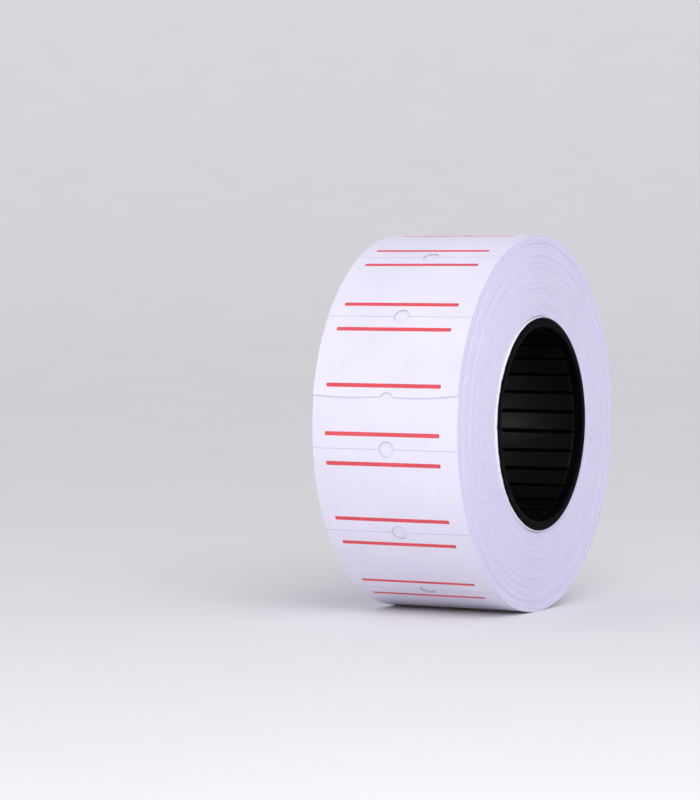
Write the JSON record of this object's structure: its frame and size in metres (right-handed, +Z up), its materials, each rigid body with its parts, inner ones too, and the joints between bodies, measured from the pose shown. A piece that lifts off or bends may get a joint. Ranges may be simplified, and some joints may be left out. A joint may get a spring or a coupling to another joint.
{
  "type": "price label roll",
  "caption": "Roll of self-adhesive price labels for a hand labelling gun: a strip of white labels with red lines on backing paper, wound on a grooved black core, with a free end that lifts.",
  "frame": {"origin": "centre of the core's bore, halfway along it", "axes": "+Y along the bore's axis, +Z up as the roll stands on its rim, -X to the side where the free end of the label strip lies"},
  "size_m": [0.0518, 0.0228, 0.0519],
  "materials": {
    "core": "satin",
    "tape": "satin",
    "backing": "satin",
    "label": "matte",
    "ink": "satin"
  },
  "bodies": {
    "roll": {"core": "core", "start_tape": "tape", "backing_strip": "backing", "wound_labels": "label", "label_05": "label", "label_06": "label", "label_07": "label", "label_08": "label", "label_09": "label", "label_10": "label", "label_11": "label", "label_12": "label", "label_13": "label", "label_14": "label", "label_15": "label", "label_16": "label", "label_17": "label", "label_18": "label", "label_05_print": "ink", "label_06_print": "ink", "label_07_print": "ink", "label_08_print": "ink", "label_09_print": "ink", "label_10_print": "ink", "label_11_print": "ink", "label_12_print": "ink", "label_13_print": "ink", "label_14_print": "ink", "label_15_print": "ink", "label_16_print": "ink", "label_17_print": "ink", "label_18_print": "ink"},
    "lead_04": {"lead_backing_04": "backing", "label_04": "label", "label_04_print": "ink"},
    "lead_03": {"lead_backing_03": "backing", "label_03": "label", "label_03_print": "ink"},
    "lead_02": {"lead_backing_02": "backing", "label_02": "label", "label_02_print": "ink"},
    "lead_01": {"lead_backing_01": "backing"},
    "end_label": {"label_01": "label", "label_01_print": "ink"}
  },
  "joints": [
    {"name": "lead_fold_04", "type": "hinge", "parent": "roll", "child": "lead_04", "pos_m": [0.01097, 0, 0.02357], "axis": [0, 1, 0], "range_deg": [0, 45], "stiffness_Nm_per_rad": 0.0015},
    {"name": "lead_fold_03", "type": "hinge", "parent": "lead_04", "child": "lead_03", "pos_m": [-0.00072, 0, 0.02599], "axis": [0, 1, 0], "range_deg": [0, 45], "stiffness_Nm_per_rad": 0.0015},
    {"name": "lead_fold_02", "type": "hinge", "parent": "lead_03", "child": "lead_02", "pos_m": [-0.01226, 0, 0.02293], "axis": [0, 1, 0], "range_deg": [0, 45], "stiffness_Nm_per_rad": 0.0015},
    {"name": "lead_fold_01", "type": "hinge", "parent": "lead_02", "child": "lead_01", "pos_m": [-0.02121, 0, 0.01504], "axis": [0, 1, 0], "range_deg": [0, 45], "stiffness_Nm_per_rad": 0.0015},
    {"name": "label_peel", "type": "hinge", "parent": "lead_01", "child": "end_label", "pos_m": [-0.02121, 0, 0.01504], "axis": [0, 1, 0], "range_deg": [0, 120]}
  ]
}
